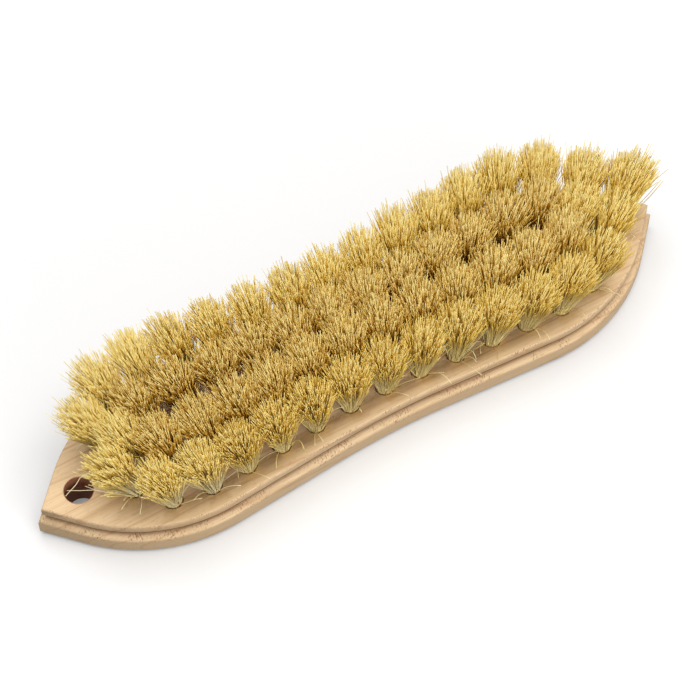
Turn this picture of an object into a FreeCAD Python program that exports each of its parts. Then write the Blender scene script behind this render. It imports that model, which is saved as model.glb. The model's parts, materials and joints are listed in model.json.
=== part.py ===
import FreeCAD, Part
import math
import os
from FreeCAD import Placement, Rotation, Vector

# Wooden scrub brush lying on its back. Millimetres, +X along the block towards the end without a hole,
# +Z along the bristles, origin in the middle of the back face.

# Block outline, the same on both sides and at both ends
block_length = 240.0
block_thickness = 15.0
hip_width = 60.8
hip_radius = 60.0
tip_half_angle = 47.0
flank_angle = 4.1
waist_radius = 300.0

# Finger groove routed all round the edge, with a rounded shoulder below it and a set-back lip above it
back_round = 1.8
lip_height = 3.6
lip_inset = 1.4
groove_height = 2.9
groove_depth = 2.5
shoulder_round = 1.6
shelf_slope = 14.0
face_round = 0.9
round_break = 0.08

# Hanging hole
hang_hole_diameter = 9.8
hang_hole_setback = 15.7

# Tuft layout: rows centred a little way from the hanging hole, and end tufts stepped out from the rows' ends
field_shift = 1.8
row_count = 4
row_pitches = 12
row_margin = 9.8
row_end_setback = 39.0
end_middle_step = 2.5
end_pair_step = 9.0
end_point_step = 19.7

# Tuft holes, drilled along the lean of their tufts; holes and bundles are drawn with flat sides
tuft_hole_diameter = 6.9
tuft_sides = 10
drill_point_angle = 118.0
back_web = 3.0

# Tufts: folded bundles of fibre that lean outwards, flare and are trimmed level
trim_length = 26.0
tuft_head_diameter = 13.6
tuft_head_gap = 0.2
tuft_root_clearance = 0.1
tuft_floor_clearance = 0.2
width_splay = 0.18
length_splay = 0.055
end_splay = 0.22

# Anchors: flat wire that holds each fold down and bites into the wood on both sides of its hole
anchor_thickness = 0.35
anchor_height = 2.0
anchor_bite = 0.4
anchor_clearance = 0.05
fold_thickness = 2.2

# How far cutting shapes stand clear of what they cut
overcut = 4.0

up = Vector(0, 0, 1)
forwards = Vector(1, 0, 0)
sideways = Vector(0, 1, 0)

tuft_hole_radius = tuft_hole_diameter / 2
drill_point_height = tuft_hole_radius / math.tan(math.radians(drill_point_angle / 2))
tuft_hole_depth = block_thickness - back_web - drill_point_height
root_radius = tuft_hole_radius - tuft_root_clearance
root_depth = tuft_hole_depth - tuft_floor_clearance
anchor_bottom = fold_thickness - root_depth
anchor_length = tuft_hole_diameter + 2 * anchor_bite
row_end = block_length / 2 - row_end_setback


class Outline:
    """Plan outline moved in by an inset: a waist arc, flanks, hip arcs and straight sides to the tips."""

    def __init__(self, inset=0.0):
        tip = math.radians(tip_half_angle)
        flank = math.radians(flank_angle)
        hip_x = block_length / 2 - hip_width / 2 / math.tan(tip) - hip_radius * math.tan(tip / 2)
        radii = hip_radius + waist_radius
        rise = radii * (1 - math.cos(flank)) + math.tan(flank) * (hip_x - radii * math.sin(flank))
        self.waist_centre = Vector(0, hip_width / 2 - rise + waist_radius, 0)
        self.hip_centre = Vector(hip_x, hip_width / 2 - hip_radius, 0)
        self.waist_radius = waist_radius + inset
        self.hip_radius = hip_radius - inset
        self.waist_end = self.waist_centre + Vector(math.sin(flank), -math.cos(flank), 0) * self.waist_radius
        self.hip_start = self.hip_centre + Vector(-math.sin(flank), math.cos(flank), 0) * self.hip_radius
        self.hip_top = self.hip_centre + Vector(0, self.hip_radius, 0)
        self.hip_end = self.hip_centre + Vector(math.sin(tip), math.cos(tip), 0) * self.hip_radius
        self.tip = Vector(block_length / 2 - inset / math.sin(tip), 0, 0)
        self.tip_direction = Vector(math.cos(tip), -math.sin(tip), 0)

    def side(self, overrun=0.0):
        """Edges of the +Y side from the -X tip to the +X tip, with the straight ends run on past the tips."""
        run_out = self.tip + self.tip_direction * overrun
        waist_low = self.waist_centre - Vector(0, self.waist_radius, 0)
        points = [run_out, self.hip_end, self.hip_top, self.hip_start, self.waist_end]
        far = [opposite_end(point) for point in points]
        return [
            Part.makeLine(far[0], far[1]),
            Part.Arc(far[1], far[2], far[3]).toShape(),
            Part.makeLine(far[3], far[4]),
            Part.Arc(far[4], waist_low, points[4]).toShape(),
            Part.makeLine(points[4], points[3]),
            Part.Arc(points[3], points[2], points[1]).toShape(),
            Part.makeLine(points[1], points[0]),
        ]

    def face(self):
        """The whole outline as a flat face."""
        near = self.side()
        other = [edge.mirror(Vector(), sideways) for edge in near]
        return joined_face(near + other)

    def half_width(self, x):
        """Distance from the centre line to the outline at a place along the block."""
        x = abs(x)
        if x < self.waist_end.x:
            return self.waist_centre.y - math.sqrt(self.waist_radius ** 2 - x ** 2)
        if x < self.hip_start.x:
            return self.waist_end.y + math.tan(math.radians(flank_angle)) * (x - self.waist_end.x)
        if x < self.hip_end.x:
            return self.hip_centre.y + math.sqrt(self.hip_radius ** 2 - (x - self.hip_centre.x) ** 2)
        return math.tan(math.radians(tip_half_angle)) * (self.tip.x - x)


class Tuft:
    """One tuft's place: where it leaves the block and where the middle of its trimmed head is.

    Its X is measured from the middle of the tuft field.
    """

    def __init__(self, name, x, y):
        self.name = name
        self.mouth = Vector(x + field_shift, y, block_thickness)
        past_row = max(abs(x) - row_end, 0)
        outwards = length_splay * abs(x) + end_splay * past_row
        self.axis = Vector(math.copysign(outwards, x), width_splay * y, trim_length)
        self.head = self.mouth + self.axis
        self.placement = Placement(self.mouth, Rotation(up, self.axis))

    def head_radius(self, others):
        """A head spreads to its full size, or until it is a small gap short of its nearest neighbour."""
        nearest = min(self.head.distanceToPoint(other.head) for other in others if other is not self)
        return min(tuft_head_diameter, nearest - tuft_head_gap) / 2


def opposite_end(point):
    return Vector(-point.x, point.y, point.z)


def joined_face(edges):
    return Part.Face(Part.Wire(Part.sortEdges(edges)[0]))


def placed(shape, placement):
    """A copy of a shape, moved from the origin to its place."""
    copy = shape.copy()
    copy.Placement = placement
    return copy


def turned_in(wall_end, radius, turn):
    """Where an arc gets to that leaves a wall and turns in over it, down for a negative turn."""
    angle = math.radians(turn)
    return wall_end + Vector(0, math.cos(angle) - 1, math.sin(angle)) * radius


def round_over(wall_end, radius, turn):
    """Rounded edge that leaves a wall and turns in over it."""
    return Part.Arc(wall_end, turned_in(wall_end, radius, turn / 2), turned_in(wall_end, radius, turn)).toShape()


def groove_profile():
    """What the router takes off the edge, as a face on the YZ plane with the block's widest line at Y = 0.

    Both rounded edges run a little way out through their faces, and meet them at a slight angle.
    """
    groove_top = Vector(0, -groove_depth, block_thickness - lip_height)
    groove_foot = groove_top - Vector(0, 0, groove_height)
    lip = Vector(0, -lip_inset, groove_top.z)
    rim_start = Vector(0, -lip_inset, block_thickness - face_round + round_break)
    rim_end = turned_in(rim_start, face_round, 90)
    shoulder_turn = 90 - shelf_slope
    shoulder = turned_in(Vector(), shoulder_round, shoulder_turn)
    shelf_rise = (groove_depth + shoulder.y) * math.tan(math.radians(shelf_slope))
    wall_end = Vector(0, 0, groove_foot.z - shelf_rise - shoulder.z)
    wall_start = Vector(0, 0, back_round - round_break)
    back_end = turned_in(wall_start, back_round, -90)
    outside = [
        rim_end,
        Vector(0, rim_end.y, block_thickness + overcut),
        Vector(0, overcut, block_thickness + overcut),
        Vector(0, overcut, -overcut),
        Vector(0, back_end.y, -overcut),
        back_end,
    ]
    edges = [
        round_over(wall_start, back_round, -90),
        Part.makeLine(wall_start, wall_end),
        round_over(wall_end, shoulder_round, shoulder_turn),
        Part.makeLine(wall_end + shoulder, groove_foot),
        Part.makeLine(groove_foot, groove_top),
        Part.makeLine(groove_top, lip),
        Part.makeLine(lip, rim_start),
        round_over(rim_start, face_round, 90),
    ]
    edges += [Part.makeLine(start, end) for start, end in zip(outside, outside[1:])]
    return joined_face(edges)


def groove_cutters():
    """The router's cut along each edge of the outline: straight runs are extruded and arcs are revolved."""
    profile = groove_profile()
    cutters = []
    for edge in Outline().side(overrun=2 * overcut):
        start = edge.valueAt(edge.FirstParameter)
        end = edge.valueAt(edge.LastParameter)
        heading = edge.tangentAt(edge.FirstParameter)
        section = placed(profile, Placement(start, Rotation(forwards, heading)))
        if isinstance(edge.Curve, Part.Line):
            cutter = section.extrude(end - start)
        else:
            final_heading = edge.tangentAt(edge.LastParameter)
            turn = math.degrees(math.asin(heading.cross(final_heading).z))
            cutter = section.revolve(edge.Curve.Center, up, turn)
        cutters += [cutter, cutter.mirror(Vector(), sideways)]
    return cutters


def hang_hole_cutter():
    start = Vector(hang_hole_setback - block_length / 2, 0, -overcut)
    return Part.makeCylinder(hang_hole_diameter / 2, block_thickness + 2 * overcut, start)


def anchor_bar(clearance):
    """Flat wire across the hole, standing on edge above the fold, about an axis along +Z."""
    thickness = anchor_thickness + 2 * clearance
    length = anchor_length + 2 * clearance
    height = anchor_height + 2 * clearance
    corner = Vector(-thickness / 2, -length / 2, anchor_bottom - clearance)
    return Part.makeBox(thickness, length, height, corner)


def ring(radius, z):
    """Corners of a flat-sided ring about +Z, with a flat across the anchor's ends, or a point."""
    if radius == 0:
        return [Vector(0, 0, z)]
    step = 2 * math.pi / tuft_sides
    angles = [step * (index + 0.5) for index in range(tuft_sides)]
    return [Vector(-radius * math.sin(angle), radius * math.cos(angle), z) for angle in angles]


def flat_face(corners):
    return Part.Face(Part.makePolygon(corners + corners[:1]))


def faceted_solid(*rings):
    """A closed solid of flat facets from a ring or a point at the bottom up through rings."""
    faces = [flat_face(rings[-1])]
    if len(rings[0]) > 1:
        faces.append(flat_face(rings[0][::-1]))
    for low, high in zip(rings, rings[1:]):
        for index in range(tuft_sides):
            after = (index + 1) % tuft_sides
            if len(low) == 1:
                faces.append(flat_face([low[0], high[after], high[index]]))
            else:
                faces.append(flat_face([low[index], low[after], high[after], high[index]]))
    return Part.Solid(Part.Shell(faces))


def tuft_hole_cutter():
    """Drilled blind hole with its drill point, and the slots that the anchor cuts into its wall."""
    hole = faceted_solid(
        ring(0, -tuft_hole_depth - drill_point_height),
        ring(tuft_hole_radius, -tuft_hole_depth),
        ring(tuft_hole_radius, overcut),
    )
    return hole.fuse(anchor_bar(anchor_clearance))


def make_block(tufts):
    """The one-piece block: outline, routed edge, hanging hole and drilled tuft holes."""
    blank = Outline(-overcut / 2).face().extrude(up * block_thickness)
    routed = blank.cut(groove_cutters())
    drill = tuft_hole_cutter()
    holes = [placed(drill, tuft.placement) for tuft in tufts]
    return routed.cut([hang_hole_cutter()] + holes)


def make_tuft(tuft, head_radius):
    """Fibres folded round their anchor in the hole, flaring along the tuft's axis to a level trim."""
    length = tuft.axis.Length
    lean = math.atan2(math.hypot(tuft.axis.x, tuft.axis.y), tuft.axis.z)
    clear_of_face = tuft_hole_radius * math.tan(lean)
    untrimmed = length + 2 * head_radius * math.tan(lean) + overcut
    flare = (head_radius - root_radius) / (length - clear_of_face)
    fibres = faceted_solid(
        ring(root_radius, -root_depth),
        ring(root_radius, clear_of_face),
        ring(root_radius + flare * (untrimmed - clear_of_face), untrimmed),
    )
    fibres = fibres.cut(anchor_bar(anchor_clearance))
    waste = Part.makeBox(block_length, block_length, 2 * untrimmed)
    waste.translate(tuft.head - Vector(block_length / 2, block_length / 2, 0))
    return placed(fibres, tuft.placement).cut(waste)


def make_anchors(tufts):
    """One anchor for each tuft, as a group of separate solids."""
    bar = anchor_bar(0)
    return Part.makeCompound([placed(bar, tuft.placement) for tuft in tufts])


def lay_out_tufts():
    """Rows that follow the outline, every other one half a pitch out of step, and the end tufts."""
    row_line = Outline(row_margin)
    row_spacing = 2 * row_line.half_width(0) / (row_count - 1)
    pitch = 2 * row_end / row_pitches
    outer = [step * pitch - row_end for step in range(row_pitches + 1)]
    inner = [x + pitch / 2 for x in outer[:-1]]
    outer_places = [(x, row_line.half_width(x + field_shift)) for x in outer]
    inner_places = [(x, row_line.half_width(x + field_shift) - row_spacing) for x in inner]
    rows = {
        "a": [(x, -y) for x, y in outer_places],
        "b": [(x, -y) for x, y in inner_places],
        "c": inner_places,
        "d": outer_places,
    }
    tufts = []
    for letter, places in rows.items():
        tufts += [Tuft(f"tuft_row_{letter}_{number:02d}", x, y) for number, (x, y) in enumerate(places, 1)]
    middle_x = row_end + end_middle_step
    pair_x = row_end + end_pair_step
    for end, sign, (_, pair_y) in (("hole_end", -1, inner_places[0]), ("plain_end", 1, inner_places[-1])):
        tufts += [
            Tuft(f"tuft_{end}_near", sign * pair_x, -pair_y),
            Tuft(f"tuft_{end}_middle", sign * middle_x, 0),
            Tuft(f"tuft_{end}_far", sign * pair_x, pair_y),
        ]
    tufts.append(Tuft("tuft_plain_end_point", row_end + end_point_step, 0))
    return tufts


os.makedirs("parts", exist_ok=True)
tufts = lay_out_tufts()
make_block(tufts).exportStep("parts/brush_block.step")
make_anchors(tufts).exportStep("parts/anchor_staples.step")
for tuft in tufts:
    make_tuft(tuft, tuft.head_radius(tufts)).exportStep(f"parts/{tuft.name}.step")
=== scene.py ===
import json
import math
import random

import bmesh
import bpy
from mathutils import Matrix, Vector


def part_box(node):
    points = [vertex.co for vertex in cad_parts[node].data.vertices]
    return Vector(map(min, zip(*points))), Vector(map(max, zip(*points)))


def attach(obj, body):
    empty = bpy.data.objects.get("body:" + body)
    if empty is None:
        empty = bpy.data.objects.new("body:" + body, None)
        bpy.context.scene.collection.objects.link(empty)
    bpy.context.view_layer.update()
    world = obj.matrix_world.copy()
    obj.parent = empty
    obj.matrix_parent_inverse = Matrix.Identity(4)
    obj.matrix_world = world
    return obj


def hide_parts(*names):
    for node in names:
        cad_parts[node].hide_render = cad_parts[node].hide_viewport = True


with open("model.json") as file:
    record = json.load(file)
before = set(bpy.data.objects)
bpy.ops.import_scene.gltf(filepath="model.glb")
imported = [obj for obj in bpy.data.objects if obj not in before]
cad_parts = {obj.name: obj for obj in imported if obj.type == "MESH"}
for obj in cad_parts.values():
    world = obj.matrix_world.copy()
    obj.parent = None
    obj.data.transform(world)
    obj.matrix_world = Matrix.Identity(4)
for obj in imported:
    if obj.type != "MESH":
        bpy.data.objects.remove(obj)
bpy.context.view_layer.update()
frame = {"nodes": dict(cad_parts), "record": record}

# Wooden scrub brush lying on its back, bristles up. Metres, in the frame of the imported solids:
# +X along the block away from the hanging hole, +Z along the bristles, the block's back at Z = 0.

mm = 0.001

# Sizes read from the solids and the record
face_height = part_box("brush_block")[1].z
tuft_names = sorted(name for name in frame["nodes"] if name.startswith("tuft_"))
trim_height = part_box(tuft_names[0])[1].z
hanging_hole = next(mount for mount in frame["record"]["mounts"] if mount["name"] == "hanging_hole")
hole_middle = Vector(hanging_hole["pos_m"])
hole_radius = hanging_hole["dims"]["r_mm"] * mm

# Meshes: what counts as one place, as level with the trim and as a crisp edge
weld_distance = 0.001 * mm
level_distance = 0.01 * mm
crisp_edge_angle = math.radians(28)

# Fibres in their holes, folded under the anchor
fibre_radius = 0.115 * mm
fibre_thickness = (0.75, 1.2)
folds_per_tuft = 270
root_bundle_radius = 2.8 * mm
bundle_wobble = 0.3
anchor_level = 2.6 * mm
fold_drop = 2.0 * mm
fold_clearance = 0.5 * mm
fold_tuck = 0.6
mouth_sink = 0.4 * mm

# Heads: the spread over the head of the solid, the trim, and how unevenly the fibres stand
head_spread = 1.2
inner_head_spread = 1.25
head_dome = 2.4 * mm
trim_scatter = 0.8 * mm
tip_scatter = 0.5 * mm
clump_waves = 4
clump_size = 2.6 * mm
clump_stretch = (0.8, 1.6)
clump_pull = 0.4 * mm
fibre_bow = 0.45 * mm
fibre_curl = (1.05, 1.5)
wide_fibre_share = 0.1
wide_fibre_reach = 1.35
long_fibre_share = 0.05
long_fibre_extra = (1.2 * mm, 4.0 * mm)
rise_shares = (0.18, 0.4, 0.7, 1.0)

# Leans: the whole field has taken a set, and the middle rows close up where they stand far apart
field_set = Vector((-0.9, 1.7)) * mm
lean_scatter = 0.4 * mm
middle_gap = 9.2 * mm
middle_lean = 0.6

# Loose fibres: some at every tuft, and strands across the hanging hole, in millimetres from the
# middle of its rim
loose_thickness = 1.2
strays_per_tuft = 5
stray_root = 0.8 * root_bundle_radius
stray_reach = (5 * mm, 11 * mm)
stray_height = (3 * mm, 13 * mm)
stray_drift = 2.0 * mm
stray_turn = (0.4 * math.pi, 0.85 * math.pi)
stray_shares = (0.15, 0.35, 0.55, 0.75, 0.9, 1.0)
hole_strands = {
    "tuft_hole_end_near": [
        [(9.1, -8.0, 2.5), (4.2, -2.9, 1.0), (0.2, -0.7, 0.8), (-3.4, 1.6, 0.4)],
        [(9.0, -8.6, 3.0), (4.4, -3.1, 1.3), (2.3, -0.4, 1.5)],
    ],
    "tuft_hole_end_middle": [
        [(14.0, 2.0, 6.0), (2.2, 2.8, 2.0), (0.1, 1.8, 1.0), (-4.7, 0.1, 0.3)],
    ],
}

# Fibre colours at the root and along the shaft, with painted light and shade: the inner rows are darker and
# browner as painted shade between the tufts, the bundles by the hanging hole paler as painted light, and
# the outer rows pale at the root as painted light on their necks.
outer_colours = ("#FFEFB4", "#DEBA4C")
inner_shaded_colours = ("#AC641A", "#CCA036")
end_lit_colours = ("#FFF4C8", "#F4DA80")
root_to_shaft = (face_height + 8 * mm, face_height + 18 * mm)
shaft_to_tip = (trim_height - 4 * mm, trim_height + 0.5 * mm)

# Heights of the routed edge: where each band starts, is full, starts to fade and ends
shoulder_band = (5.4 * mm, 6.8 * mm, 8.6 * mm, 8.9 * mm)
# The groove band holds painted shade
groove_band = (8.3 * mm, 8.7 * mm, 11.2 * mm, 11.45 * mm)
lip_edge_band = (12.6 * mm, 13.8 * mm, 14.9 * mm, 15.0 * mm)

# Where painted shade starts and is full, downwards on the side wall and along its foot, and where the
# darker tint of the hanging hole's wall does, inwards to it
side_shade_fade = (7.6 * mm, 6.2 * mm)
foot_shade_fade = (1.1 * mm, 0.2 * mm)
hole_wall_fade = (hole_radius + 0.3 * mm, hole_radius + 0.02 * mm)

# Softboxes, each with its width, depth, power and place, and the even light of the room
overhead_softbox = (1.1, 0.9, 11.3, Vector((0.06, 0.06, 1.1)))
front_softbox = (0.9, 0.4, 5.4, Vector((0.15, -0.96, 0.25)))
room_light = 0.42

# Floor: its reach, its drop below the block, and how its white grows with distance
floor_reach = 3.0
floor_drop = 0.25 * mm
white_distances = (0.17, 0.5)
white_shares = (0.12, 1.0)

# Camera: where it stands round the brush, what it looks at and its lens
camera_elevation = math.radians(59.38)
camera_azimuth = math.radians(-29.49)
camera_roll = math.radians(-0.697)
camera_distance = 894.3 * mm
camera_target = Vector((4.04, 10.23, 0.0)) * mm
photo_width = 700
focal_pixels = 2600
sensor_width = 36.0


def linear(hex_colour):
    """An sRGB hex colour as linear red, green, blue and alpha."""
    channels = [int(hex_colour[start:start + 2], 16) / 255 for start in (1, 3, 5)]
    return [c / 12.92 if c <= 0.04045 else ((c + 0.055) / 1.055) ** 2.4 for c in channels] + [1.0]


def add_node(tree, kind, inputs=None, **settings):
    """Adds a node with its settings; each input gets a value, or a link from another node's output."""
    node = tree.nodes.new(kind)
    for name, value in settings.items():
        setattr(node, name, value)
    for socket, source in (inputs or {}).items():
        if isinstance(source, bpy.types.NodeSocket):
            tree.links.new(source, node.inputs[socket])
        else:
            node.inputs[socket].default_value = source
    return node


def new_material(name):
    """A node material, with its tree and its shader."""
    material = bpy.data.materials.new(name)
    material.use_nodes = True
    tree = material.node_tree
    return material, tree, tree.nodes["Principled BSDF"]


def clouded_grain(tree, place):
    """Pale tan that varies slowly, with long fine grain. Gives the colour and the grain."""
    cloud_space = add_node(tree, "ShaderNodeMapping", {
        "Vector": place, "Scale": (60 * mm, 16 * mm, 16 * mm)}, vector_type="TEXTURE").outputs[0]
    clouds = add_node(tree, "ShaderNodeTexNoise", {
        "Vector": cloud_space, "Scale": 1.0, "Detail": 1.0}).outputs[0]
    wood = add_node(tree, "ShaderNodeMix", {
        0: clouds, 6: linear("#EFD2A9"), 7: linear("#E2C092")}, data_type="RGBA").outputs[2]
    grain_space = add_node(tree, "ShaderNodeMapping", {
        "Vector": place, "Scale": (30 * mm, 0.55 * mm, 0.55 * mm)}, vector_type="TEXTURE").outputs[0]
    grain = add_node(tree, "ShaderNodeTexNoise", {
        "Vector": grain_space, "Scale": 1.0, "Detail": 3.0, "Roughness": 0.6}).outputs[0]
    grain_amount = add_node(tree, "ShaderNodeMapRange", {
        "Value": grain, "From Min": 0.42, "From Max": 0.74, "To Max": 0.42}).outputs[0]
    wood = add_node(tree, "ShaderNodeMix", {
        0: grain_amount, 6: wood, 7: linear("#C79A69")}, data_type="RGBA").outputs[2]
    return wood, grain


def growth_lines(tree, place, wood):
    """Darker lines along the block, about 7 mm apart across it, that wander a little."""
    wander_space = add_node(tree, "ShaderNodeMapping", {
        "Vector": place, "Scale": (150 * mm, 14 * mm, 14 * mm)}, vector_type="TEXTURE").outputs[0]
    wander = add_node(tree, "ShaderNodeTexNoise", {
        "Vector": wander_space, "Scale": 1.0, "Detail": 2.0}).outputs[0]
    half_spacing = 3 * mm
    across = add_node(tree, "ShaderNodeVectorMath", {
        0: place, 1: (0.02 / half_spacing, 0.85 / half_spacing, 0.5 / half_spacing)},
        operation="DOT_PRODUCT").outputs["Value"]
    line_count = add_node(tree, "ShaderNodeMath", {
        0: wander, 1: 5.0, 2: across}, operation="MULTIPLY_ADD").outputs[0]
    line = add_node(tree, "ShaderNodeMath", {0: line_count, 1: 1.0}, operation="PINGPONG").outputs[0]
    line_amount = add_node(tree, "ShaderNodeMapRange", {
        "Value": line, "From Min": 0.8, "From Max": 1.0, "To Max": 0.45}).outputs[0]
    return add_node(tree, "ShaderNodeMix", {
        0: line_amount, 6: wood, 7: linear("#B98757")}, data_type="RGBA").outputs[2]


def shaded_side_and_foot(tree, height, wood):
    """Painted shade: the side wall below the groove darker, and a dark band along its foot as painted
    contact shadow.
    """
    # Painted shade on the side wall below the groove
    side_shade = add_node(tree, "ShaderNodeMapRange", {
        "Value": height, "From Min": side_shade_fade[0], "From Max": side_shade_fade[1],
        "To Max": 0.5}).outputs[0]
    wood = add_node(tree, "ShaderNodeMix", {
        0: side_shade, 6: wood, 7: linear("#AE9270")}, data_type="RGBA").outputs[2]
    # Painted contact shadow along the foot
    foot_shade = add_node(tree, "ShaderNodeMapRange", {
        "Value": height, "From Min": foot_shade_fade[0], "From Max": foot_shade_fade[1],
        "To Max": 0.6}).outputs[0]
    return add_node(tree, "ShaderNodeMix", {
        0: foot_shade, 6: wood, 7: linear("#5C4632")}, data_type="RGBA").outputs[2]


def pore_flecks(tree, place, wood):
    """Short brown flecks along the grain, where pores were cut open."""
    fleck_space = add_node(tree, "ShaderNodeMapping", {
        "Vector": place, "Scale": (2.4 * mm, 0.45 * mm, 0.45 * mm)}, vector_type="TEXTURE").outputs[0]
    fleck_noise = add_node(tree, "ShaderNodeTexNoise", {
        "Vector": fleck_space, "Scale": 1.0, "Detail": 1.0}).outputs[0]
    flecks = add_node(tree, "ShaderNodeMapRange", {
        "Value": fleck_noise, "From Min": 0.6, "From Max": 0.74, "To Max": 0.28}).outputs[0]
    return add_node(tree, "ShaderNodeMix", {
        0: flecks, 6: wood, 7: linear("#B4855A")}, data_type="RGBA").outputs[2]


def routed_edge(tree, place, height, wood):
    """Painted shade, dark brown, in the groove under the lip, and patches of slanted nicks on the shoulder
    and the lip.

    Gives the colour and the nicks.
    """
    bands = []
    for start, full, fade, end in (shoulder_band, lip_edge_band, groove_band):
        above = add_node(tree, "ShaderNodeMapRange", {
            "Value": height, "From Min": start, "From Max": full}).outputs[0]
        below = add_node(tree, "ShaderNodeMapRange", {
            "Value": height, "From Min": end, "From Max": fade}).outputs[0]
        bands.append(add_node(tree, "ShaderNodeMath", {
            0: above, 1: below}, operation="MULTIPLY").outputs[0])
    shoulder, lip_edge, groove = bands
    torn = add_node(tree, "ShaderNodeMath", {0: shoulder, 1: lip_edge}, operation="MAXIMUM").outputs[0]
    # Painted shade in the groove under the lip
    groove_shade = add_node(tree, "ShaderNodeMath", {0: groove, 1: 0.8}, operation="MULTIPLY").outputs[0]
    wood = add_node(tree, "ShaderNodeMix", {
        0: groove_shade, 6: wood, 7: linear("#5E3C24")}, data_type="RGBA").outputs[2]
    nick_space = add_node(tree, "ShaderNodeMapping", {
        "Vector": place, "Rotation": (0.0, 0.6, 0.0), "Scale": (0.35 * mm, 1.3 * mm, 1.0 * mm)},
        vector_type="TEXTURE").outputs[0]
    nick_noise = add_node(tree, "ShaderNodeTexNoise", {
        "Vector": nick_space, "Scale": 1.0, "Detail": 1.0}).outputs[0]
    nicks = add_node(tree, "ShaderNodeMapRange", {
        "Value": nick_noise, "From Min": 0.54, "From Max": 0.67}).outputs[0]
    patch_noise = add_node(tree, "ShaderNodeTexNoise", {
        "Vector": place, "Scale": 1 / (8 * mm), "Detail": 1.0}).outputs[0]
    patches = add_node(tree, "ShaderNodeMapRange", {
        "Value": patch_noise, "From Min": 0.4, "From Max": 0.6, "To Max": 0.7}).outputs[0]
    torn_patches = add_node(tree, "ShaderNodeMath", {
        0: torn, 1: patches}, operation="MULTIPLY").outputs[0]
    torn_nicks = add_node(tree, "ShaderNodeMath", {
        0: torn_patches, 1: nicks}, operation="MULTIPLY").outputs[0]
    wood = add_node(tree, "ShaderNodeMix", {
        0: torn_nicks, 6: wood, 7: linear("#8F5A33")}, data_type="RGBA").outputs[2]
    return wood, torn_nicks


def darker_hole_wall(tree, place, wood):
    """The wall of the hanging hole, in a darker reddish brown."""
    from_hole = add_node(tree, "ShaderNodeVectorMath", {
        0: place, 1: hole_middle}, operation="SUBTRACT").outputs[0]
    across_hole = add_node(tree, "ShaderNodeVectorMath", {
        0: from_hole, 1: (1.0, 1.0, 0.0)}, operation="MULTIPLY").outputs[0]
    hole_distance = add_node(tree, "ShaderNodeVectorMath", {
        0: across_hole}, operation="LENGTH").outputs["Value"]
    hole_wall_tint = add_node(tree, "ShaderNodeMapRange", {
        "Value": hole_distance, "From Min": hole_wall_fade[0], "From Max": hole_wall_fade[1],
        "To Max": 0.85}).outputs[0]
    return add_node(tree, "ShaderNodeMix", {
        0: hole_wall_tint, 6: wood, 7: linear("#A05C38")}, data_type="RGBA").outputs[2]


def make_beech():
    """Sanded, unvarnished beech: matt pale tan with fine grain, pore flecks and a few darker growth lines.

    The tools that shaped it left nicks in the routed edge. Painted shade darkens the groove, the side wall
    and its foot, and the wall of the hanging hole is a darker reddish brown.
    """
    material, tree, shader = new_material("beech")
    place = add_node(tree, "ShaderNodeTexCoord").outputs["Object"]
    height = add_node(tree, "ShaderNodeSeparateXYZ", {0: place}).outputs["Z"]
    wood, grain = clouded_grain(tree, place)
    wood = growth_lines(tree, place, wood)
    wood = shaded_side_and_foot(tree, height, wood)
    wood = pore_flecks(tree, place, wood)
    wood, nicks = routed_edge(tree, place, height, wood)
    wood = darker_hole_wall(tree, place, wood)
    tree.links.new(wood, shader.inputs["Base Color"])
    roughness = add_node(tree, "ShaderNodeMapRange", {
        "Value": grain, "To Min": 0.5, "To Max": 0.68}).outputs[0]
    tree.links.new(roughness, shader.inputs["Roughness"])
    shader.inputs["IOR"].default_value = 1.5
    shader.inputs["Specular IOR Level"].default_value = 0.35
    relief = add_node(tree, "ShaderNodeMath", {
        0: nicks, 1: -1.5, 2: grain}, operation="MULTIPLY_ADD").outputs[0]
    bump = add_node(tree, "ShaderNodeBump", {
        "Height": relief, "Strength": 0.15, "Distance": 0.15 * mm}).outputs[0]
    tree.links.new(bump, shader.inputs["Normal"])
    return material


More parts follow.
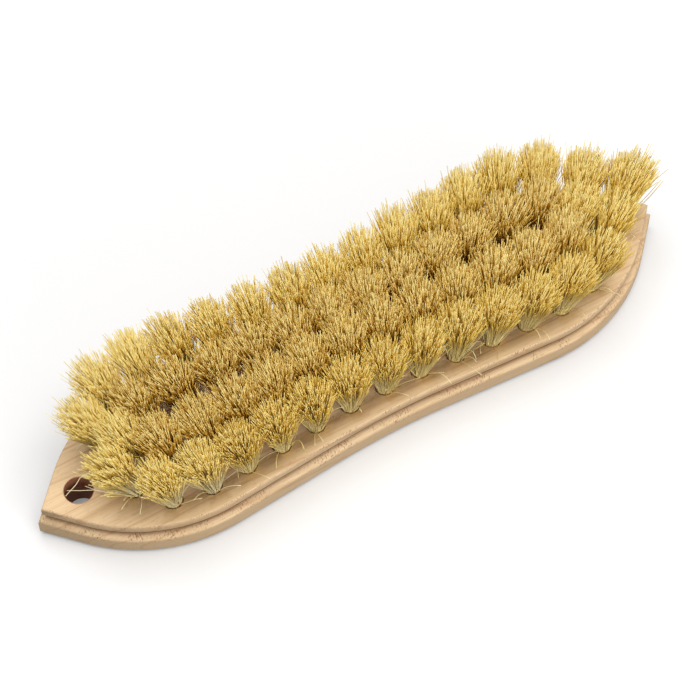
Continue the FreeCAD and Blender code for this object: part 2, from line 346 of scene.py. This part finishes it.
def make_plant_fibre(name, root_colour, shaft_colour):
    """Undyed plant fibre: stiff straw with a slight sheen, golden along the shaft and pale at the cut tip.

    Each fibre has its own tint, and a few are dark green-brown. The root and shaft colours carry painted
    light and shade, which differ between the copies of this material.
    """
    material, tree, shader = new_material(name)
    place = add_node(tree, "ShaderNodeTexCoord").outputs["Object"]
    height = add_node(tree, "ShaderNodeSeparateXYZ", {0: place}).outputs["Z"]
    clear_of_hole = add_node(tree, "ShaderNodeMapRange", {
        "Value": height, "From Min": root_to_shaft[0], "From Max": root_to_shaft[1]}).outputs[0]
    # Root and shaft colours: painted light and shade for this copy's tufts
    straw = add_node(tree, "ShaderNodeMix", {
        0: clear_of_hole, 6: linear(root_colour), 7: linear(shaft_colour)}, data_type="RGBA").outputs[2]
    chance = add_node(tree, "ShaderNodeNewGeometry").outputs["Random Per Island"]
    pale = add_node(tree, "ShaderNodeMapRange", {
        "Value": chance, "From Min": 0.6, "From Max": 1.0, "To Max": 0.5}).outputs[0]
    straw = add_node(tree, "ShaderNodeMix", {
        0: pale, 6: straw, 7: linear("#F6DF6C")}, data_type="RGBA").outputs[2]
    deep = add_node(tree, "ShaderNodeMapRange", {
        "Value": chance, "From Min": 0.3, "From Max": 0.0, "To Max": 0.55}).outputs[0]
    straw = add_node(tree, "ShaderNodeMix", {
        0: deep, 6: straw, 7: linear("#AA7A16")}, data_type="RGBA").outputs[2]
    near_tip = add_node(tree, "ShaderNodeMapRange", {
        "Value": height, "From Min": shaft_to_tip[0], "From Max": shaft_to_tip[1],
        "To Max": 0.85}).outputs[0]
    straw = add_node(tree, "ShaderNodeMix", {
        0: near_tip, 6: straw, 7: linear("#F2E29C")}, data_type="RGBA").outputs[2]
    dark = add_node(tree, "ShaderNodeMath", {
        0: chance, 1: 0.5, 2: 0.004}, operation="COMPARE").outputs[0]
    straw = add_node(tree, "ShaderNodeMix", {
        0: dark, 6: straw, 7: linear("#6E6434")}, data_type="RGBA").outputs[2]
    tree.links.new(straw, shader.inputs["Base Color"])
    sheen_space = add_node(tree, "ShaderNodeMapping", {
        "Vector": place, "Scale": (0.5 * mm, 0.5 * mm, 6 * mm)}, vector_type="TEXTURE").outputs[0]
    sheen_noise = add_node(tree, "ShaderNodeTexNoise", {
        "Vector": sheen_space, "Scale": 1.0}).outputs[0]
    roughness = add_node(tree, "ShaderNodeMapRange", {
        "Value": sheen_noise, "To Min": 0.25, "To Max": 0.5}).outputs[0]
    tree.links.new(roughness, shader.inputs["Roughness"])
    shader.inputs["IOR"].default_value = 1.5
    shader.inputs["Specular IOR Level"].default_value = 0.35
    return material


def make_anchor_wire():
    """Galvanised flat steel wire: dull grey with a faint mottle."""
    material, tree, shader = new_material("galvanised_steel")
    place = add_node(tree, "ShaderNodeTexCoord").outputs["Object"]
    mottle = add_node(tree, "ShaderNodeTexNoise", {
        "Vector": place, "Scale": 1 / (0.8 * mm)}).outputs[0]
    zinc = add_node(tree, "ShaderNodeMix", {
        0: mottle, 6: linear("#B9BBBD"), 7: linear("#9A9DA1")}, data_type="RGBA").outputs[2]
    tree.links.new(zinc, shader.inputs["Base Color"])
    roughness = add_node(tree, "ShaderNodeMapRange", {
        "Value": mottle, "To Min": 0.35, "To Max": 0.55}).outputs[0]
    tree.links.new(roughness, shader.inputs["Roughness"])
    shader.inputs["Metallic"].default_value = 1.0
    return material


def in_middle_rows(node_name):
    """Whether a tuft stands in one of the two rows between the outer ones."""
    return "_row_b_" in node_name or "_row_c_" in node_name


class TuftPlace:
    """Where a tuft's solid says it leaves the block, which way it leans and how wide its head is."""

    def __init__(self, node_name):
        corners = {vertex.co.to_tuple(6) for vertex in frame["nodes"][node_name].data.vertices}
        corners = sorted((Vector(corner) for corner in corners), key=lambda corner: corner.z)
        head_ring = [corner for corner in corners if corner.z > trim_height - level_distance]
        root_ring = corners[:len(head_ring)]
        root = sum(root_ring, Vector()) / len(root_ring)
        head = sum(head_ring, Vector()) / len(head_ring)
        to_face = (face_height - root.z) / (head.z - root.z)
        self.mouth = root.lerp(head, to_face)
        self.root_depth = (self.mouth - root).length
        self.head_radius = sum((corner - head).length for corner in head_ring) / len(head_ring)
        self.axis = (head - self.mouth).normalized()
        spreads_wider = in_middle_rows(node_name) or "plain_end" in node_name
        self.spread = inner_head_spread if spreads_wider else head_spread
        turn = Vector((0, 0, 1)).rotation_difference(self.axis)
        self.across = turn @ Vector((1, 0, 0))
        self.beside = turn @ Vector((0, 1, 0))

    def at(self, x, y, z):
        """A point given across the anchor, along it and along the tuft's axis, measured from the mouth."""
        return self.mouth + self.across * x + self.beside * y + self.axis * z


def sunflower(count, radius, chance):
    """Places spread evenly over a disc, each a little off its mark."""
    golden_angle = math.pi * (3 - math.sqrt(5))
    start = chance.uniform(0, 2 * math.pi)
    wobble = bundle_wobble * radius / math.sqrt(count)
    places = []
    for index in range(count):
        distance = radius * math.sqrt((index + 0.5) / count)
        angle = start + index * golden_angle
        places.append(Vector((
            distance * math.cos(angle) + chance.gauss(0, wobble),
            distance * math.sin(angle) + chance.gauss(0, wobble))))
    return places


def fold_pairs(places):
    """Pairs each place on one side of the anchor with one on the other side, for the two legs of a fold."""
    ordered = sorted(places, key=lambda place: place.x)
    half = len(ordered) // 2
    left = sorted(ordered[:half], key=lambda place: place.y)
    right = sorted(ordered[half:], key=lambda place: place.y)
    return list(zip(left, right))


def clump_field(chance):
    """A smooth random pull, so that neighbouring fibres lean together in small clumps."""
    waves = []
    for _ in range(clump_waves):
        heading = chance.uniform(0, 2 * math.pi)
        stretch = 2 * math.pi / (clump_size * chance.uniform(*clump_stretch))
        waves.append((
            Vector((math.cos(heading), math.sin(heading))) * stretch,
            chance.uniform(0, 2 * math.pi),
            Vector((chance.gauss(0, 1), chance.gauss(0, 1)))))

    def pull(spot):
        pushes = (push * math.sin(wave.dot(spot) + phase) for wave, phase, push in waves)
        return sum(pushes, Vector((0, 0)))

    return pull


def leg_points(tuft, place, lean, pull, chance):
    """One leg of a fold, from beside the anchor up to its trimmed tip."""
    share = place.length / root_bundle_radius
    spread = place * (tuft.head_radius * tuft.spread / root_bundle_radius)
    if chance.random() < wide_fibre_share:
        spread *= chance.uniform(1.0, wide_fibre_reach)
    spot = spread + lean + pull(spread) * clump_pull
    spot += Vector((chance.gauss(0, tip_scatter), chance.gauss(0, tip_scatter)))
    tip_z = trim_height - head_dome * share ** 2 + chance.gauss(0, trim_scatter)
    if chance.random() < long_fibre_share:
        tip_z += chance.uniform(*long_fibre_extra)
    bow = Vector((chance.gauss(0, fibre_bow), chance.gauss(0, fibre_bow)))
    curl = chance.uniform(*fibre_curl)
    top = tuft.at(spot.x, spot.y, 0)
    rise = (tip_z - top.z) / tuft.axis.z
    points = [
        tuft.at(place.x, place.y, anchor_level - tuft.root_depth),
        tuft.at(place.x, place.y, -mouth_sink),
    ]
    for part in rise_shares:
        flat = place.lerp(spot, part ** curl) + bow * math.sin(math.pi * part)
        points.append(tuft.at(flat.x, flat.y, rise * part))
    return points


def fold_points(tuft, left, right, lean, pull, chance):
    """The whole of one folded fibre: down one leg, under the anchor and up the other leg."""
    reach = (right.x - left.x) / (2 * root_bundle_radius)
    bottom = anchor_level - fold_drop * reach - fold_clearance - tuft.root_depth
    under = [
        tuft.at(left.x * fold_tuck, left.y, bottom),
        tuft.at(right.x * fold_tuck, right.y, bottom),
    ]
    down = leg_points(tuft, left, lean, pull, chance)[::-1]
    return down + under + leg_points(tuft, right, lean, pull, chance)


def stray_points(tuft, chance):
    """A loose fibre that leaves the rim of the hole and bows out over the face of the block."""
    heading = chance.uniform(0, 2 * math.pi)
    outwards = Vector((math.cos(heading), math.sin(heading), 0))
    sideways = Vector((-outwards.y, outwards.x, 0)) * chance.gauss(0, stray_drift)
    reach = chance.uniform(*stray_reach)
    height = chance.uniform(*stray_height)
    turn = chance.uniform(*stray_turn)
    points = [tuft.mouth + outwards * stray_root - Vector((0, 0, mouth_sink))]
    for part in stray_shares:
        run = outwards * (root_bundle_radius + reach * part)
        rise = Vector((0, 0, height * math.sin(turn * part)))
        points.append(tuft.mouth + run + sideways * part ** 2 + rise)
    return points


def strand_points(tuft, route):
    """A loose fibre from a tuft's hole over given places by the hanging hole."""
    rim = Vector((hole_middle.x, hole_middle.y, face_height))
    start = tuft.mouth - Vector((0, 0, mouth_sink))
    return [start] + [rim + Vector(place) * mm for place in route]


def fibre_mesh(name, lines):
    """A closed thin tube along each line, all in one mesh."""
    curve = bpy.data.curves.new(name, "CURVE")
    curve.dimensions = "3D"
    curve.bevel_depth = fibre_radius
    curve.bevel_resolution = 0
    curve.use_fill_caps = True
    for line, thickness in lines:
        spline = curve.splines.new("POLY")
        spline.points.add(len(line) - 1)
        for point, place in zip(spline.points, line):
            point.co = (*place, 1.0)
            point.radius = thickness
    tube = bpy.data.objects.new(name, curve)
    bpy.context.scene.collection.objects.link(tube)
    mesh = bpy.data.meshes.new_from_object(tube)
    bpy.data.objects.remove(tube)
    bpy.data.curves.remove(curve)
    shape = bmesh.new()
    shape.from_mesh(mesh)
    bmesh.ops.remove_doubles(shape, verts=shape.verts, dist=weld_distance)
    for face in shape.faces:
        face.smooth = True
    shape.to_mesh(mesh)
    shape.free()
    mesh.name = name
    return mesh


def make_tuft(node_name, material):
    """A tuft of folded fibres in place of its plain solid."""
    chance = random.Random(node_name)
    tuft = TuftPlace(node_name)
    pull = clump_field(chance)
    lean = field_set + Vector((chance.gauss(0, lean_scatter), chance.gauss(0, lean_scatter)))
    if in_middle_rows(node_name):
        room = max(abs(tuft.mouth.y) - middle_gap / 2, 0)
        lean.y -= math.copysign(middle_lean * room, tuft.mouth.y)
    lines = []
    for left, right in fold_pairs(sunflower(2 * folds_per_tuft, root_bundle_radius, chance)):
        fold = fold_points(tuft, left, right, lean, pull, chance)
        lines.append((fold, chance.uniform(*fibre_thickness)))
    for _ in range(strays_per_tuft):
        lines.append((stray_points(tuft, chance), loose_thickness))
    for route in hole_strands.get(node_name, []):
        lines.append((strand_points(tuft, route), loose_thickness))
    mesh = fibre_mesh(node_name + "_fibres", lines)
    mesh.materials.clear()
    mesh.materials.append(material)
    piece = bpy.data.objects.new(node_name + "_fibres", mesh)
    bpy.context.scene.collection.objects.link(piece)
    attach(piece, "root")
    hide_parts(node_name)


def dress_block(material):
    """The CAD block as one welded mesh with smooth arcs and crisp edges."""
    shape = bmesh.new()
    shape.from_mesh(frame["nodes"]["brush_block"].data)
    bmesh.ops.remove_doubles(shape, verts=shape.verts, dist=weld_distance)
    for face in shape.faces:
        face.smooth = True
    mesh = bpy.data.meshes.new("wooden_block")
    shape.to_mesh(mesh)
    shape.free()
    mesh.set_sharp_from_angle(angle=crisp_edge_angle)
    mesh.materials.append(material)
    piece = bpy.data.objects.new("wooden_block", mesh)
    bpy.context.scene.collection.objects.link(piece)
    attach(piece, "root")
    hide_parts("brush_block")


def dress_anchors(material):
    """The anchors stay as their solids are and only get their metal."""
    node = frame["nodes"]["anchor_staples"]
    node.data.materials.clear()
    node.data.materials.append(material)


def seen_directly(tree):
    """1 for a look at a surface, straight, mirrored or through glass, and 0 for the light it sends on."""
    light_path = add_node(tree, "ShaderNodeLightPath")
    seen = add_node(tree, "ShaderNodeMath", {
        0: light_path.outputs["Is Camera Ray"], 1: light_path.outputs["Is Glossy Ray"]},
        operation="MAXIMUM").outputs[0]
    return add_node(tree, "ShaderNodeMath", {
        0: seen, 1: light_path.outputs["Is Transmission Ray"]}, operation="MAXIMUM").outputs[0]


def make_floor():
    """A pale sweep that keeps the brush's shadow and turns plain white farther away."""
    material, tree, shader = new_material("white_sweep")
    shader.inputs["Base Color"].default_value = linear("#646464")
    shader.inputs["Roughness"].default_value = 1.0
    shader.inputs["Specular IOR Level"].default_value = 0.0
    white = add_node(tree, "ShaderNodeEmission", {"Strength": 1.0})
    paper = add_node(tree, "ShaderNodeBsdfDiffuse", {"Color": linear("#F1F1F1")})
    place = add_node(tree, "ShaderNodeTexCoord").outputs["Object"]
    distance = add_node(tree, "ShaderNodeVectorMath", {0: place}, operation="LENGTH").outputs["Value"]
    whiteness = add_node(tree, "ShaderNodeMapRange", {
        "Value": distance, "From Min": white_distances[0], "From Max": white_distances[1],
        "To Min": white_shares[0], "To Max": white_shares[1]}).outputs[0]
    shown = add_node(tree, "ShaderNodeMixShader", {
        0: whiteness, 1: paper.outputs[0], 2: white.outputs[0]})
    surface = add_node(tree, "ShaderNodeMixShader", {
        0: seen_directly(tree), 1: shader.outputs[0], 2: shown.outputs[0]})
    tree.links.new(surface.outputs[0], tree.nodes["Material Output"].inputs["Surface"])
    shape = bmesh.new()
    bmesh.ops.create_grid(shape, x_segments=1, y_segments=1, size=floor_reach)
    bmesh.ops.translate(shape, verts=shape.verts, vec=(0, 0, -floor_drop))
    mesh = bpy.data.meshes.new("floor")
    shape.to_mesh(mesh)
    shape.free()
    mesh.materials.append(material)
    floor = bpy.data.objects.new("floor", mesh)
    bpy.context.scene.collection.objects.link(floor)


def make_lights():
    """An even white room, a large softbox overhead and a weak one low in front."""
    world = bpy.data.worlds.new("studio")
    world.use_nodes = True
    tree = world.node_tree
    strength = add_node(tree, "ShaderNodeMapRange", {
        "Value": seen_directly(tree), "To Min": room_light, "To Max": 1.0}).outputs[0]
    tree.links.new(strength, tree.nodes["Background"].inputs["Strength"])
    tree.nodes["Background"].inputs["Color"].default_value = linear("#FFFFFF")
    bpy.context.scene.world = world

    for width, depth, power, place in (overhead_softbox, front_softbox):
        lamp = bpy.data.lights.new("softbox", "AREA")
        lamp.shape = "RECTANGLE"
        lamp.size = width
        lamp.size_y = depth
        lamp.energy = power
        stand = bpy.data.objects.new("softbox", lamp)
        stand.location = place
        stand.rotation_euler = (-place).to_track_quat("-Z", "Y").to_euler()
        bpy.context.scene.collection.objects.link(stand)


def make_camera():
    """The photograph's viewing angle: high over the near side, turned towards the hanging hole."""
    back = Vector((
        math.sin(camera_azimuth) * math.cos(camera_elevation),
        -math.cos(camera_azimuth) * math.cos(camera_elevation),
        math.sin(camera_elevation)))
    level = Vector((math.cos(camera_azimuth), math.sin(camera_azimuth), 0))
    upright = back.cross(level)
    right = level * math.cos(camera_roll) + upright * math.sin(camera_roll)
    up = back.cross(right)
    lens = bpy.data.cameras.new("camera")
    lens.sensor_width = sensor_width
    lens.lens = sensor_width * focal_pixels / photo_width
    camera = bpy.data.objects.new("camera", lens)
    turn = Matrix((right, up, back)).transposed().to_4x4()
    camera.matrix_world = Matrix.Translation(camera_target + back * camera_distance) @ turn
    bpy.context.scene.collection.objects.link(camera)
    bpy.context.scene.camera = camera


bpy.context.scene.view_settings.view_transform = "Standard"
dress_block(make_beech())
dress_anchors(make_anchor_wire())
# Three copies of one fibre with painted light and shade: pale roots on the outer necks, paler bundles by
# the hanging hole, darker and browner inner rows
outer_fibre = make_plant_fibre("plant_fibre", *outer_colours)
end_lit_fibre = make_plant_fibre("plant_fibre_end_lit", *end_lit_colours)
inner_shaded_fibre = make_plant_fibre("plant_fibre_inside_shaded", *inner_shaded_colours)
for tuft_name in tuft_names:
    if in_middle_rows(tuft_name):
        make_tuft(tuft_name, inner_shaded_fibre)
    elif "_hole_end_" in tuft_name or tuft_name.endswith(("_01", "_02")):
        make_tuft(tuft_name, end_lit_fibre)
    else:
        make_tuft(tuft_name, outer_fibre)
make_floor()
make_lights()
make_camera()
